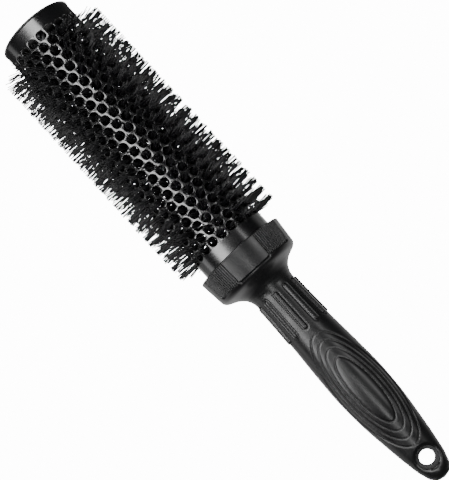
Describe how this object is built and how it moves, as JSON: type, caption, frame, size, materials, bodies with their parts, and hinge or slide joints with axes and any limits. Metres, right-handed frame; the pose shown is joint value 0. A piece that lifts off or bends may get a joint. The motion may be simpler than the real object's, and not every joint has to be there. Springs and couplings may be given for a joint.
{
  "type": "round barrel brush",
  "caption": "Upright round thermal hair brush: perforated metal barrel, nylon bristles through its holes, moulded soft handle with hanging hole.",
  "frame": {"origin": "centre of the tip cap's flat outer face, on which the brush stands", "axes": "+Z along the barrel axis from the tip to the handle's end, -Y the front, the hanging hole along Y"},
  "size_m": [0.051, 0.051, 0.2457],
  "materials": {
    "barrel_metal": "gloss black coating on aluminium",
    "cap_plastic": "gloss moulded",
    "grip_soft": "satin soft touch",
    "core_plastic": "matte moulded",
    "bristle_nylon": "drawn nylon",
    "core_wire": "galvanised wire"
  },
  "bodies": {
    "root": {"tip_cap": "cap_plastic", "barrel_tube": "barrel_metal", "core_wire_a": "core_wire", "core_wire_b": "core_wire", "barrel_plug": "core_plastic", "handle_core": "core_plastic", "handle_grip": "grip_soft", "bristle_ring_02": "bristle_nylon", "bristle_ring_03": "bristle_nylon", "bristle_ring_04": "bristle_nylon", "bristle_ring_05": "bristle_nylon", "bristle_ring_06": "bristle_nylon", "bristle_ring_07": "bristle_nylon", "bristle_ring_08": "bristle_nylon", "bristle_ring_09": "bristle_nylon", "bristle_ring_10": "bristle_nylon", "bristle_ring_11": "bristle_nylon", "bristle_ring_12": "bristle_nylon", "bristle_ring_13": "bristle_nylon", "bristle_ring_14": "bristle_nylon", "bristle_ring_15": "bristle_nylon", "bristle_ring_16": "bristle_nylon", "bristle_ring_17": "bristle_nylon", "bristle_ring_18": "bristle_nylon", "bristle_ring_19": "bristle_nylon", "bristle_ring_20": "bristle_nylon", "bristle_ring_21": "bristle_nylon", "bristle_ring_22": "bristle_nylon", "bristle_ring_23": "bristle_nylon", "bristle_ring_24": "bristle_nylon", "bristle_ring_25": "bristle_nylon", "bristle_ring_26": "bristle_nylon"}
  },
  "joints": []
}
